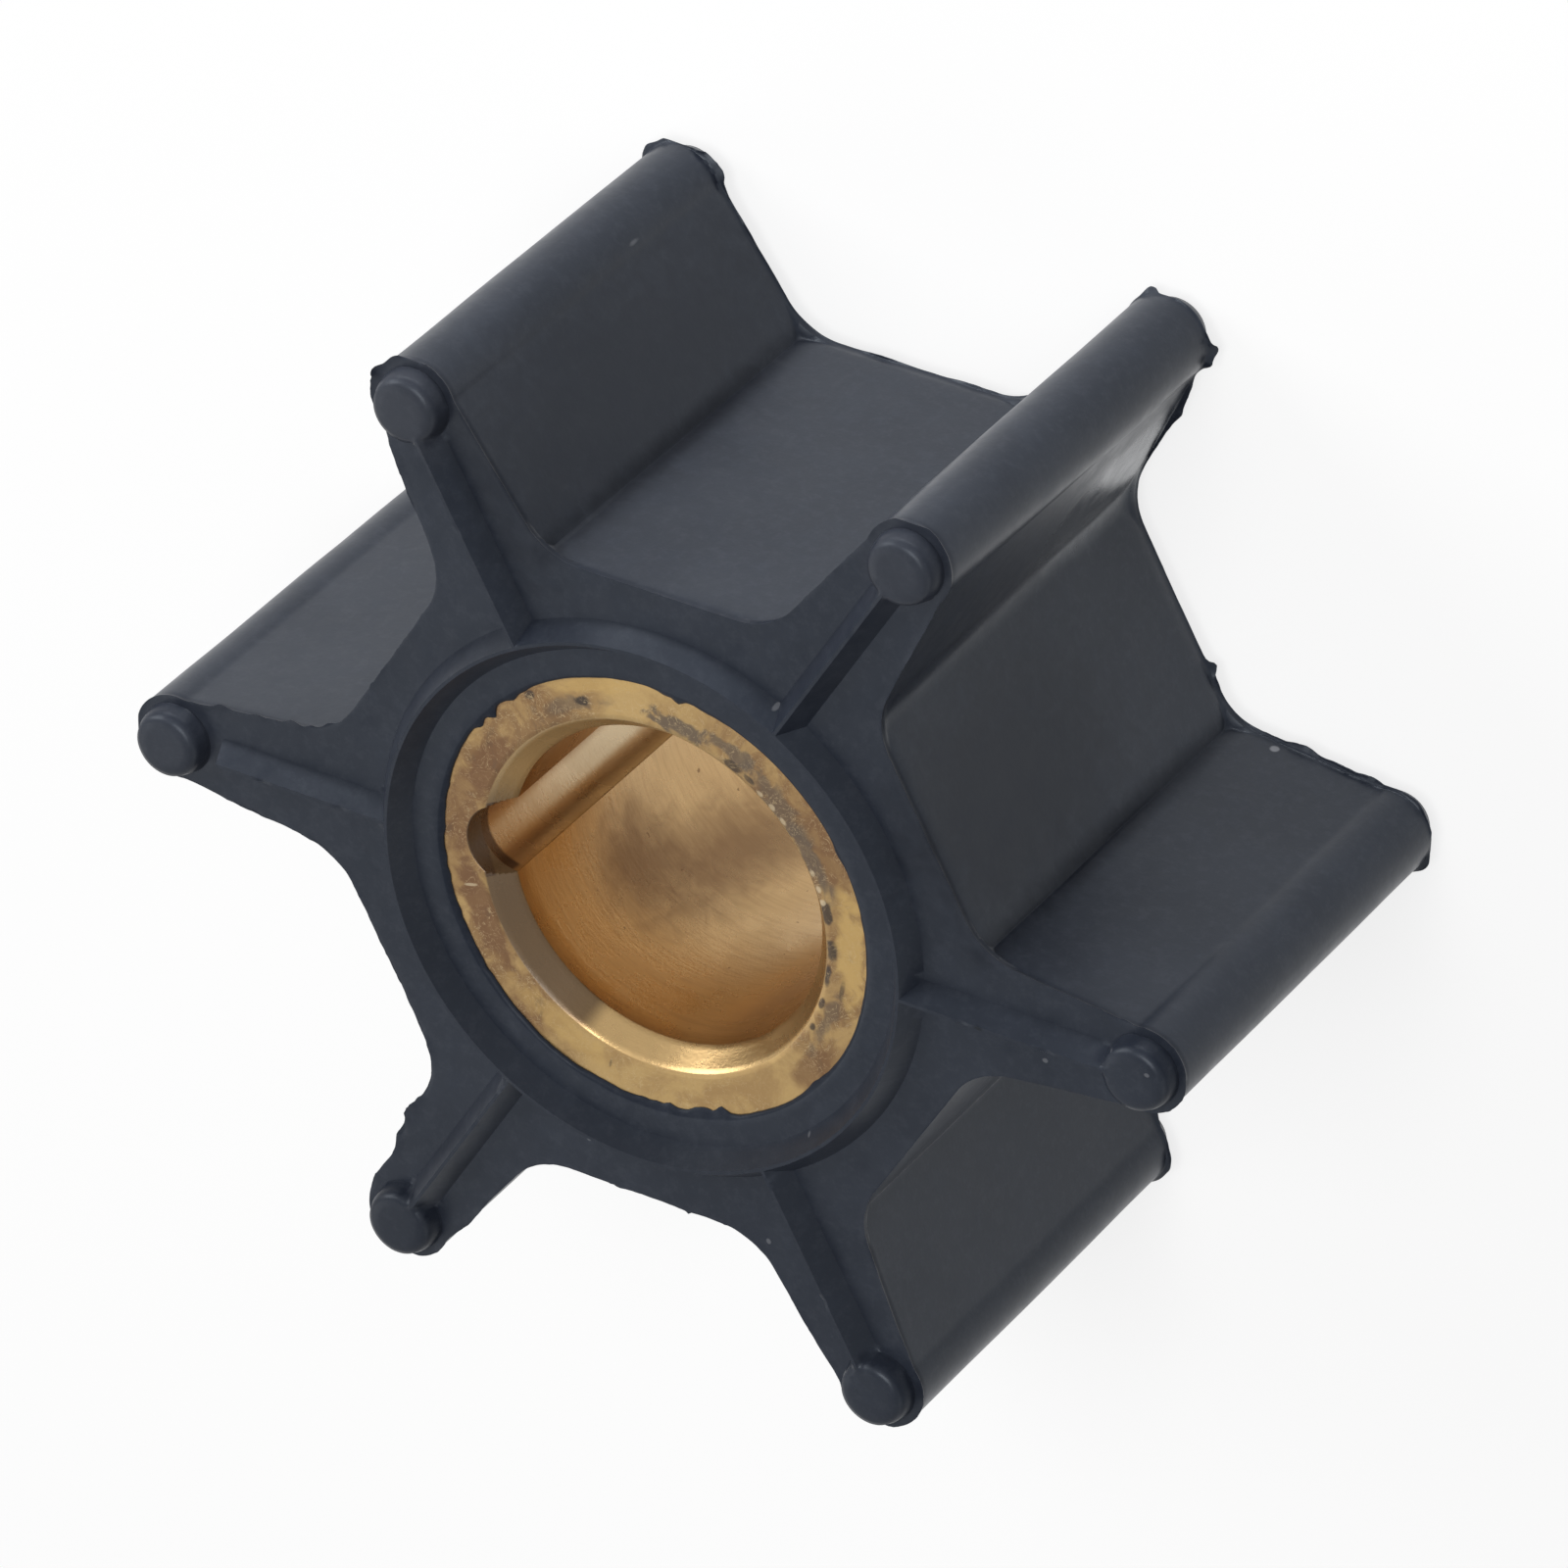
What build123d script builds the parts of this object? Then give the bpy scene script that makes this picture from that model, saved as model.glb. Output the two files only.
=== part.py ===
from build123d import *
import math
import os

# Flexible-vane water pump impeller, in millimetres.
# +Z runs along the bore. The origin is on the bore axis, in the plane of the lowest
# boss tops. One vane, and the keyway with it, lies along +X. Both ends are alike.

# Rubber body: plan
vane_count = 6
overall_diameter = 50.8
tip_bead_diameter = 3.9
vane_tip_thickness = 3.5
vane_root_thickness = 5.6
hub_across_flats = 29.3
root_fillet = 3.4
neck_fillet = 1.2

# Rubber body: along the axis
body_length = 21.4
relief_height = 1.0

# Raised relief on each end
tip_boss_diameter = 3.3
tip_boss_draft = 8.5
ridge_width = 1.45
ridge_crest_width = 0.15
ridge_to_boss_gap = 0.35
ring_ridge_diameter = 24.8

# Brass insert
insert_diameter = 20.7
insert_recess = 0.2
bore_diameter = 15.0
bore_chamfer_width = 0.85
bore_chamfer_depth = 1.1
keyway_width = 3.7
keyway_depth = 1.6

# Worked out from the sizes above
tip_circle_radius = (overall_diameter - tip_bead_diameter) / 2
hub_flat_radius = hub_across_flats / 2
overall_length = body_length + 2 * relief_height
mid_height = overall_length / 2
body_bottom = relief_height
body_top = relief_height + body_length
vane_pitch = 360 / vane_count
ring_crest_radius = ring_ridge_diameter / 2
ridge_end_radius = tip_circle_radius - tip_boss_diameter / 2 - ridge_to_boss_gap
insert_length = body_length - 2 * insert_recess
insert_bottom = body_bottom + insert_recess
vane_azimuths = [index * vane_pitch for index in range(vane_count)]


def vane_blade():
    """One tapered vane seen along the axis, pointing along +X, without its bead."""
    half_root = vane_root_thickness / 2
    half_tip = vane_tip_thickness / 2
    taper = (half_root - half_tip) / (tip_circle_radius - hub_flat_radius)
    half_at_axis = half_tip + taper * tip_circle_radius
    corners = [
        (0, -half_at_axis),
        (tip_circle_radius, -half_tip),
        (tip_circle_radius, half_tip),
        (0, half_at_axis),
    ]
    return make_face(Polyline(*corners, close=True))


def body_outline():
    """The hub, the vanes and their tip beads as one flat outline with its fillets."""
    outline = RegularPolygon(hub_flat_radius, vane_count, major_radius=False)
    for azimuth in vane_azimuths:
        outline += Rot(0, 0, azimuth) * vane_blade()
    roots = [v for v in outline.vertices() if is_root_corner(v)]
    outline = fillet(roots, root_fillet)
    for azimuth in vane_azimuths:
        outline += Rot(0, 0, azimuth) * Pos(tip_circle_radius, 0) * Circle(tip_bead_diameter / 2)
    necks = [v for v in outline.vertices() if is_neck_corner(v)]
    return fillet(necks, neck_fillet)


def is_root_corner(vertex):
    """Where a vane leaves the hub: well inside the tips."""
    return math.hypot(vertex.X, vertex.Y) < (hub_flat_radius + tip_circle_radius) / 2


def is_neck_corner(vertex):
    """Where a vane meets its bead: on the bead, on the side that faces the hub."""
    reach = math.hypot(vertex.X, vertex.Y)
    return tip_circle_radius - tip_bead_diameter / 2 < reach < tip_circle_radius


def ridge_section():
    """The ridge's pointed section: width along X, height along Y, base a little sunk."""
    sink = relief_height / 4
    half_crest = ridge_crest_width / 2
    half_base = half_crest + (ridge_width / 2 - half_crest) * (relief_height + sink) / relief_height
    corners = [
        (-half_base, -sink),
        (half_base, -sink),
        (half_crest, relief_height),
        (-half_crest, relief_height),
    ]
    return make_face(Polyline(*corners, close=True))


def end_relief():
    """What stands up from the upper end: ring ridge, radial ridges and tip bosses."""
    ring_plane = Plane(origin=(ring_crest_radius, 0, body_top), x_dir=(1, 0, 0), z_dir=(0, -1, 0))
    relief = revolve(ring_plane * ridge_section(), Axis.Z, 360)
    ridge_plane = Plane(origin=(ring_crest_radius, 0, body_top), x_dir=(0, 1, 0), z_dir=(1, 0, 0))
    ridge = extrude(ridge_plane * ridge_section(), ridge_end_radius - ring_crest_radius)
    boss_disc = Pos(tip_circle_radius, 0, body_top) * Circle(tip_boss_diameter / 2)
    boss = extrude(boss_disc, relief_height, taper=tip_boss_draft)
    for azimuth in vane_azimuths:
        relief += Rot(0, 0, azimuth) * ridge
        relief += Rot(0, 0, azimuth) * boss
    return relief


def rubber_body():
    """The whole moulding, bored out for the insert."""
    moulding = extrude(Pos(0, 0, body_bottom) * body_outline(), body_length)
    upper = end_relief()
    lower = mirror(upper, Plane.XY.offset(mid_height))
    moulding += upper
    moulding += lower
    seat = Pos(0, 0, mid_height) * Cylinder(insert_diameter / 2, overall_length)
    return moulding - seat


def brass_insert():
    """The bush: a turned ring with both mouths chamfered and a half-round keyway."""
    bore_radius = bore_diameter / 2
    mouth_radius = bore_radius + bore_chamfer_width
    outer_radius = insert_diameter / 2
    wall = [
        (bore_radius, bore_chamfer_depth),
        (mouth_radius, 0),
        (outer_radius, 0),
        (outer_radius, insert_length),
        (mouth_radius, insert_length),
        (bore_radius, insert_length - bore_chamfer_depth),
    ]
    section = make_face(Plane.XZ * Polyline(*wall, close=True))
    bush = Pos(0, 0, insert_bottom) * revolve(section, Axis.Z, 360)
    keyway_radius = keyway_width / 2
    keyway_centre = bore_radius + keyway_depth - keyway_radius
    keyway = Pos(keyway_centre, 0, mid_height) * Cylinder(keyway_radius, overall_length)
    return bush - keyway


os.makedirs("parts", exist_ok=True)
export_step(rubber_body(), "parts/rubber_body.step")
export_step(brass_insert(), "parts/brass_insert.step")
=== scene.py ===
import math

import bpy
import numpy as np
from mathutils import Matrix, Vector, geometry, noise


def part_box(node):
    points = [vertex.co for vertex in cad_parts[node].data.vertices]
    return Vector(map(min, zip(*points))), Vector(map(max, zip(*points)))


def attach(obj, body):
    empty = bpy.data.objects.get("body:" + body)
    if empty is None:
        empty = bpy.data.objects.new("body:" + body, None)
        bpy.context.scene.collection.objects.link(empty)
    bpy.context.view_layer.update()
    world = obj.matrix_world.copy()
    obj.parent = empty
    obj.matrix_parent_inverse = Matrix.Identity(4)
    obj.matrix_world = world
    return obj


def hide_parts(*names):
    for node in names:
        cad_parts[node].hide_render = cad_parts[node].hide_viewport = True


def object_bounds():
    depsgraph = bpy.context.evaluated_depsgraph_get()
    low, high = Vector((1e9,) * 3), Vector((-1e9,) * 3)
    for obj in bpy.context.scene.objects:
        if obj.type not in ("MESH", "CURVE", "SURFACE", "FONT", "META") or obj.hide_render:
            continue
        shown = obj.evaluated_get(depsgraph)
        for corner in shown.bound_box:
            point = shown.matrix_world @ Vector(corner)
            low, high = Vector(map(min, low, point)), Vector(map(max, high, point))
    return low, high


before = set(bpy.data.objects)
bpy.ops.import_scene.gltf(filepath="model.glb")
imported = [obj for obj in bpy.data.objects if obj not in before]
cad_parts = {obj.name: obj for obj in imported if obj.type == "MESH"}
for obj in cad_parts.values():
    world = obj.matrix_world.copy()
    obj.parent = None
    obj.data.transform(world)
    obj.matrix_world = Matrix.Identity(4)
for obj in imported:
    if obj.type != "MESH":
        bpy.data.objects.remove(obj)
cad_low, cad_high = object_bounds()

# All lengths below are millimetres. Meshes are scaled to metres as they are made.
MM = 0.001
TAU = 2 * math.pi

# ---------------------------------------------------------------- sizes from the frame
rubber_low, rubber_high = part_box("rubber_body")
brass_low, brass_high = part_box("brass_insert")
OVERALL_DIAMETER = (rubber_high.x - rubber_low.x) / MM
OVERALL_LENGTH = (rubber_high.z - rubber_low.z) / MM
INSERT_RADIUS = (brass_high.x - brass_low.x) / 2 / MM
INSERT_BOTTOM = brass_low.z / MM
INSERT_TOP = brass_high.z / MM

# ---------------------------------------------------------------- sizes shared with the solids
VANE_COUNT = 6
BEAD_RADIUS = 1.95
VANE_TIP_THICKNESS = 3.5
VANE_ROOT_THICKNESS = 5.6
HUB_FLAT_RADIUS = 14.65
ROOT_FILLET = 3.4
NECK_FILLET = 1.2
RELIEF_HEIGHT = 1.0
BOSS_RADIUS = 1.65
RIDGE_HALF_WIDTH = 0.725
RIDGE_HALF_CREST = 0.075
RING_RIDGE_RADIUS = 12.4
BORE_RADIUS = 7.5
CHAMFER_WIDTH = 0.85
CHAMFER_DEPTH = 1.1
KEYWAY_RADIUS = 1.85
KEYWAY_DEPTH = 1.6

TIP_RADIUS = OVERALL_DIAMETER / 2 - BEAD_RADIUS
BODY_BOTTOM = RELIEF_HEIGHT
BODY_TOP = OVERALL_LENGTH - RELIEF_HEIGHT
# Radii across a tip boss, from its flat top to its foot, and the share of its height at each.
BOSS_LOOPS = (0.9, 1.2, 1.42, 1.56, BOSS_RADIUS + 0.05)
BOSS_SHARES = (1.0, 0.985, 0.9, 0.55, 0.0)
VANE_AZIMUTHS = [TAU * index / VANE_COUNT for index in range(VANE_COUNT)]
# How far each vane's ridge stops short of its boss, counter-clockwise from azimuth 0. Below 0 it
# runs into the boss.
RIDGE_GAPS = [0.7, -0.6, -0.6, -0.6, -0.6, -0.6]
RIDGE_END_RUN = 0.25

# ---------------------------------------------------------------- mesh fineness
# Points along a half pocket's bead, neck, vane side, root and floor.
OUTLINE_COUNTS = (28, 5, 36, 26, 24)
FACE_STEP = 0.24
RIM_INSET = 0.3
HOLE_POINTS = 360
# Points round the bush: across the keyway's arc, and round the rest.
KEYWAY_ARC_DEGREES = 36
KEYWAY_POINTS = 180
BUSH_POINTS = 420
# Rows of points on the bush's face, on its chamfer and down half its bore.
FACE_ROWS = 10
CHAMFER_ROWS = 6
BORE_ROWS = 10

# ---------------------------------------------------------------- walls between the rims
# Between the rims the walls bulge and the pockets' corners are tighter than at the rims.
SIDE_BULGE = 0.1
# How far each pocket's floor bulges, counter-clockwise from the one after azimuth 0.
FLOOR_BULGES = (0.12, 0.3, 0.3, 0.42, 0.35, 0.2)
# Share of that bulge at the rims.
RIM_BULGE_SHARE = 0.9
# Fillet in the corners before and after each vane, counter-clockwise from azimuth 0.
CORNER_FILLETS = ((0.3, 0.3), (0.3, 0.3), (0.3, 0.1), (0.3, 0.06), (1.5, 0.3), (0.06, 0.3))
# Share of the rim's own outline at each depth below a rim, in millimetres.
RIM_DEPTHS = (0.3, 0.42, 0.6, 0.9)
RIM_SHARES = (1.0, 0.55, 0.15, 0.0)
# Depth of the first plain row of points below each rim, and how many rows lie between those two.
PLAIN_DEPTH = 1.4
PLAIN_ROWS = 10
# Height of the gentle unevenness of the walls and of the end faces.
WALL_UNEVENNESS = 0.03
FACE_UNEVENNESS = 0.012

# ---------------------------------------------------------------- flash left by the mould
# How far the lip stands out, and how far its patches and its teeth do: back end, front end.
LIP_AT_VANE = (0.05, 0.05)
LIP_AT_FLOOR = (0.02, 0.0)
PATCH_REACH = (0.06, 0.07)
TOOTH_REACH = (0.0, 0.1)
# Each entry: azimuth in degrees, radius, how far it spreads along the edge, how far it stands out.
FRONT_FLASH = [
    (303.6, 24.2, 0.5, 0.12), (302.3, 25.1, 0.3, 0.22), (299.6, 25.3, 0.5, 0.16),
    (305.7, 19.8, 1.1, 0.16), (304.4, 21.8, 1.2, 0.18),
    (354.2, 21.3, 0.35, 0.22), (352.9, 19.5, 0.3, 0.14), (351.6, 17.8, 0.35, 0.2),
    (350.3, 16.9, 0.3, 0.14), (349.2, 16.1, 0.4, 0.18),
    (7.9, 20.3, 1.6, 0.16), (11.9, 16.5, 1.4, 0.18), (27.7, 14.4, 2.2, 0.14),
    (52.6, 18.9, 0.8, 0.34), (53.2, 20.4, 0.6, 0.28), (54.6, 22.9, 0.8, 0.3),
    (44.8, 15.8, 1.8, 0.18), (66.6, 21.5, 1.2, 0.16),
    (114.0, 24.1, 1.2, 0.12), (111.7, 21.2, 1.6, 0.10), (125.4, 23.4, 1.4, 0.14),
    (241.4, 25.1, 1.0, 0.15),
]
BACK_FLASH = [
    (301.8, 25.1, 0.6, 0.26), (297.2, 25.2, 1.2, 0.3), (294.6, 23.6, 0.8, 0.28),
    (293.2, 21.0, 0.8, 0.1), (276.2, 15.5, 0.7, 0.12), (258.1, 15.1, 1.4, 0.08),
    (243.9, 24.8, 0.4, 0.35), (236.1, 24.5, 0.5, 0.34), (235.2, 23.9, 0.3, 0.3),
    (234.4, 22.0, 0.7, 0.24), (233.7, 20.7, 0.8, 0.3), (232.6, 19.2, 0.8, 0.12),
    (198.7, 15.2, 0.35, 0.3), (196.4, 15.5, 0.5, 0.14), (188.0, 17.6, 0.7, 0.14),
    (187.0, 19.3, 0.9, 0.26), (186.2, 21.0, 0.9, 0.16), (184.9, 22.5, 0.8, 0.22),
    (183.4, 24.3, 0.8, 0.2), (177.7, 25.3, 0.9, 0.25), (126.6, 22.7, 1.0, 0.22),
    (123.7, 25.1, 1.0, 0.22),
]
# Torn strips of flash that stand up from a rim: azimuth, radius, half-width, height.
FRONT_CURLS = [(302.6, 25.0, 0.2, 0.15)]
BACK_CURLS = [(244.0, 24.8, 0.35, 0.45), (236.0, 24.4, 0.3, 0.3), (198.8, 15.2, 0.25, 0.25)]
# Shallow nicks in the ridge crests of the front: azimuth in degrees, radius, half-width, depth.
CREST_NICKS = [
    (0.0, 14.6, 0.16, 0.1), (0.0, 18.5, 0.18, 0.12), (180.0, 15.4, 0.18, 0.1),
    (180.0, 19.4, 0.2, 0.12), (300.0, 17.9, 0.2, 0.08), (240.0, 19.6, 0.2, 0.1),
    (60.0, 15.6, 0.2, 0.1), (120.0, 18.8, 0.2, 0.1),
]
# Where rubber has crept over the brass face: azimuth, spread along the edge, reach inwards.
FRONT_CREEP = [
    (321.5, 0.35, 0.4), (326.0, 0.3, 0.3), (313.0, 0.4, 0.25), (308.0, 0.3, 0.2),
    (265.0, 0.7, 0.4), (256.0, 1.6, 0.12), (90.0, 0.9, 0.25), (96.0, 0.6, 0.3),
    (105.0, 0.8, 0.42), (110.0, 0.6, 0.35), (78.0, 1.2, 0.14), (355.0, 2.5, 0.12),
    (20.0, 2.5, 0.14), (40.0, 2.5, 0.14), (211.0, 0.5, 0.18), (142.0, 0.8, 0.16),
]


def polar(azimuth, radius):
    """The flat point at an azimuth in radians."""
    return np.array((radius * math.cos(azimuth), radius * math.sin(azimuth)))


def wander(point, size, seed):
    """Smooth noise from -1 to 1 whose features are about size millimetres across."""
    return noise.noise(Vector(point) / size + Vector((seed, 2.3 * seed, -1.7 * seed)))


def turbulence(point, size, seed, octaves=3):
    """The same noise with finer layers added."""
    total = 0.0
    weight = 1.0
    for octave in range(octaves):
        total += weight * wander(point, size / 2 ** octave, seed + octave)
        weight *= 0.5
    return total


# ---------------------------------------------------------------- outline of the rubber
def arc_points(centre, radius, start, end, count):
    """Points along an arc from one angle to another, without the last."""
    angles = start + (end - start) * np.arange(count) / count
    spokes = np.stack((np.cos(angles), np.sin(angles)), 1)
    return centre + radius * spokes, spokes


def line_points(start, end, count):
    """Points along a straight run, without the last."""
    share = (np.arange(count) / count)[:, None]
    return start + (end - start) * share


def half_sector(root_fillet, side_bulge=0.0, floor_bulge=0.0):
    """Outline points and outward normals from a vane's tip to the middle of the pocket floor."""
    taper = (VANE_ROOT_THICKNESS - VANE_TIP_THICKNESS) / 2 / (TIP_RADIUS - HUB_FLAT_RADIUS)
    lean = math.atan(taper)
    tip = np.array((TIP_RADIUS, 0.0))
    side_normal = np.array((math.sin(lean), math.cos(lean)))
    inwards = np.array((-math.cos(lean), math.sin(lean)))
    half_pitch = math.pi / VANE_COUNT
    floor_normal = polar(half_pitch, 1.0)
    side_offset = VANE_TIP_THICKNESS / 2 * math.cos(lean) + side_bulge
    floor_radius = HUB_FLAT_RADIUS + floor_bulge

    neck_rise = side_offset + NECK_FILLET
    neck_run = math.sqrt((BEAD_RADIUS + NECK_FILLET) ** 2 - neck_rise ** 2)
    neck = tip + side_normal * neck_rise + inwards * neck_run
    neck_angle = math.atan2(neck[1] - tip[1], neck[0] - tip[0])

    system = np.array((side_normal, floor_normal))
    root_sides = np.array((side_normal @ tip + side_offset, floor_radius)) + root_fillet
    root = np.linalg.solve(system, root_sides)

    side_angle = math.atan2(-side_normal[1], -side_normal[0])
    floor_angle = math.atan2(-floor_normal[1], -floor_normal[0])
    at_bead, at_neck, at_side, at_root, at_floor = OUTLINE_COUNTS
    bead, bead_normals = arc_points(tip, BEAD_RADIUS, 0.0, neck_angle, at_bead)
    neck_arc, neck_spokes = arc_points(
        neck, NECK_FILLET, neck_angle - math.pi, side_angle, at_neck)
    side = line_points(neck - side_normal * NECK_FILLET, root - side_normal * root_fillet, at_side)
    root_arc, root_spokes = arc_points(root, root_fillet, side_angle, floor_angle, at_root)
    middle = floor_normal * floor_radius
    floor = line_points(root - floor_normal * root_fillet, middle, at_floor)

    points = np.concatenate((bead, neck_arc, side, root_arc, floor, middle[None]))
    normals = np.concatenate((
        bead_normals, -neck_spokes, np.tile(side_normal, (at_side, 1)),
        -root_spokes, np.tile(floor_normal, (at_floor + 1, 1)),
    ))
    return points, normals


def outline_sectors(fillets, side_bulge, floor_share):
    """The half sectors before and after each vane, for an outline."""
    return [
        (half_sector(before, side_bulge, FLOOR_BULGES[index - 1] * floor_share),
         half_sector(after, side_bulge, FLOOR_BULGES[index] * floor_share))
        for index, (before, after) in enumerate(fillets)
    ]


def full_outline(sectors):
    """The closed outline, counter-clockwise, with its outward normals."""
    flip = np.array((1.0, -1.0))
    loop_points = []
    loop_normals = []
    for azimuth, (before, after) in zip(VANE_AZIMUTHS, sectors):
        turn = np.array(((math.cos(azimuth), -math.sin(azimuth)),
                         (math.sin(azimuth), math.cos(azimuth))))
        for loop, first, last in ((loop_points, before[0], after[0]),
                                  (loop_normals, before[1], after[1])):
            loop += [(first[:0:-1] * flip) @ turn.T, last[:-1] @ turn.T]
    return np.concatenate(loop_points), np.concatenate(loop_normals)


# ---------------------------------------------------------------- relief on the end faces
def ridge_height(distance):
    """Height of the pointed ridge at a distance from its crest line."""
    slope = (RIDGE_HALF_WIDTH - distance) / (RIDGE_HALF_WIDTH - RIDGE_HALF_CREST)
    return RELIEF_HEIGHT * min(1.0, max(0.0, slope))


def boss_height(distance):
    """Height of a tip boss at a distance from its centre, with a soft upper edge."""
    return RELIEF_HEIGHT * float(np.interp(distance, BOSS_LOOPS, BOSS_SHARES))


def ridge_end(index):
    """Where the ridge of a vane stops short of its boss."""
    return TIP_RADIUS - BOSS_RADIUS - RIDGE_GAPS[index]


def relief(x, y, nicks):
    """Height of the end face above its low plane."""
    height = ridge_height(abs(math.hypot(x, y) - RING_RIDGE_RADIUS))
    index = round(math.atan2(y, x) / TAU * VANE_COUNT) % VANE_COUNT
    azimuth = VANE_AZIMUTHS[index]
    along = x * math.cos(azimuth) + y * math.sin(azimuth)
    across = -x * math.sin(azimuth) + y * math.cos(azimuth)
    if along > RING_RIDGE_RADIUS:
        end = RELIEF_HEIGHT * max(0.0, (ridge_end(index) - along) / RIDGE_END_RUN)
        height = max(height, min(ridge_height(abs(across)), end))
    height = max(height, boss_height(math.hypot(along - TIP_RADIUS, across)))
    for nick_azimuth, radius, width, depth in nicks:
        spot = polar(math.radians(nick_azimuth), radius)
        away = math.hypot(x - spot[0], y - spot[1]) / width
        if away < 3 and height > 0.3:
            height -= depth * math.exp(-away * away)
    return height


def ring_of(radius, count, centre=(0.0, 0.0)):
    """Points round a circle."""
    angles = TAU * np.arange(count) / count
    return np.stack((centre[0] + radius * np.cos(angles), centre[1] + radius * np.sin(angles)), 1)


def inside(points, loop):
    """Which points lie inside a closed loop."""
    result = np.zeros(len(points), bool)
    after = np.roll(loop, -1, 0)
    for (x0, y0), (x1, y1) in zip(loop, after):
        crosses = (y0 > points[:, 1]) != (y1 > points[:, 1])
        if y1 != y0:
            reach = x0 + (points[:, 1] - y0) * (x1 - x0) / (y1 - y0)
            result ^= crosses & (points[:, 0] < reach)
    return result


def spaced(start, end):
    """Points along a straight crease, with both ends."""
    count = max(2, 1 + round(np.linalg.norm(end - start) / FACE_STEP))
    return start + (end - start) * np.linspace(0.0, 1.0, count)[:, None]


def feature_lines():
    """Loops and lines of points along the creases of the relief, as (points, closed)."""
    lines = []
    for offset in (-RIDGE_HALF_WIDTH, -RIDGE_HALF_CREST, RIDGE_HALF_CREST, RIDGE_HALF_WIDTH):
        radius = RING_RIDGE_RADIUS + offset
        lines.append((ring_of(radius, round(TAU * radius / FACE_STEP)), True))
    ring_crest = RING_RIDGE_RADIUS + RIDGE_HALF_CREST + 0.02
    ring_foot = RING_RIDGE_RADIUS + RIDGE_HALF_WIDTH
    for index, azimuth in enumerate(VANE_AZIMUTHS):
        turn = np.array(((math.cos(azimuth), math.sin(azimuth)),
                         (-math.sin(azimuth), math.cos(azimuth))))
        end = ridge_end(index)
        crest_end = end - RIDGE_END_RUN
        for side in (-1, 1):
            crest = side * RIDGE_HALF_CREST
            foot = side * RIDGE_HALF_WIDTH
            corners = (
                ((ring_crest, crest), (crest_end, crest)), ((ring_foot, foot), (end, foot)),
                ((ring_crest, crest), (ring_foot, foot)), ((crest_end, crest), (end, foot)),
            )
            for first, last in corners:
                line = spaced(np.array(first), np.array(last))
                lines.append((line @ turn, False))
        lines.append((spaced(np.array((end, -RIDGE_HALF_WIDTH)),
                             np.array((end, RIDGE_HALF_WIDTH))) @ turn, False))
        centre = polar(azimuth, TIP_RADIUS)
        for radius in BOSS_LOOPS:
            lines.append((ring_of(radius, 56, centre), True))
    return lines


def face_plan(rim, hole):
    """Triangulates the end face in plan: all its points, and triangles between them."""
    fixed = [rim, hole]
    edges = []
    start = 0
    for loop in (rim, hole):
        index = start + np.arange(len(loop))
        edges += list(zip(index, np.roll(index, -1)))
        start += len(loop)
    for points, closed in feature_lines():
        index = start + np.arange(len(points))
        edges += list(zip(index[:-1], index[1:]))
        if closed:
            edges.append((index[-1], index[0]))
        fixed.append(points)
        start += len(points)
    fixed = np.concatenate(fixed)
    reach = OVERALL_DIAMETER / 2
    xs = np.arange(-reach, reach, FACE_STEP)
    ys = np.arange(-reach, reach, FACE_STEP * math.sqrt(3) / 2)
    grid = np.array([(x + (row % 2) * FACE_STEP / 2, y) for row, y in enumerate(ys) for x in xs])
    grid = grid[inside(grid, rim) & ~inside(grid, hole)]
    cell = FACE_STEP * 0.6
    taken = set()
    for x, y in fixed:
        for i in (-1, 0, 1):
            for j in (-1, 0, 1):
                taken.add((math.floor(x / cell + 0.5 * i), math.floor(y / cell + 0.5 * j)))
    free = [p for p in grid if (math.floor(p[0] / cell), math.floor(p[1] / cell)) not in taken]
    plan = np.concatenate((fixed, np.array(free)))
    verts, _, faces, _, _, _ = geometry.delaunay_2d_cdt(
        [Vector(p) for p in plan], [(int(a), int(b)) for a, b in edges], [], 0, 1e-6)
    verts = np.array([tuple(v) for v in verts])
    faces = np.array(faces)
    middles = verts[faces].mean(1)
    keep = inside(middles, rim) & ~inside(middles, hole)
    return verts, faces[keep]


# ---------------------------------------------------------------- rubber body
def flash_reach(point, way, flash, seed):
    """How far the lip and its flash stand out of the edge at a flat point."""
    spot = (point[0], point[1], 0.0)
    on_vane = float(np.interp(math.hypot(*point), (HUB_FLAT_RADIUS + 0.8, 17.5), (0.0, 1.0)))
    patch = max(0.0, 0.35 + turbulence(spot, 5.0, seed))
    teeth = 0.5 + 0.5 * turbulence(spot, 0.9, seed + 5)
    end = 1 if way > 0 else 0
    reach = LIP_AT_FLOOR[end] + (LIP_AT_VANE[end] - LIP_AT_FLOOR[end]) * on_vane
    reach *= 1.0 + 0.45 * turbulence(spot, 3.0, seed + 2)
    reach += PATCH_REACH[end] * patch * teeth
    fine = max(0.0, turbulence(spot, 0.45, seed + 7) - 0.15)
    reach += TOOTH_REACH[end] * fine * (patch + 0.3)
    for azimuth, radius, spread, growth in flash:
        place = polar(math.radians(azimuth), radius)
        away = math.hypot(point[0] - place[0], point[1] - place[1]) / spread
        if away < 3:
            reach += growth * math.exp(-away * away) * (0.55 + 0.75 * teeth)
    return max(0.0, reach)


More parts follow.
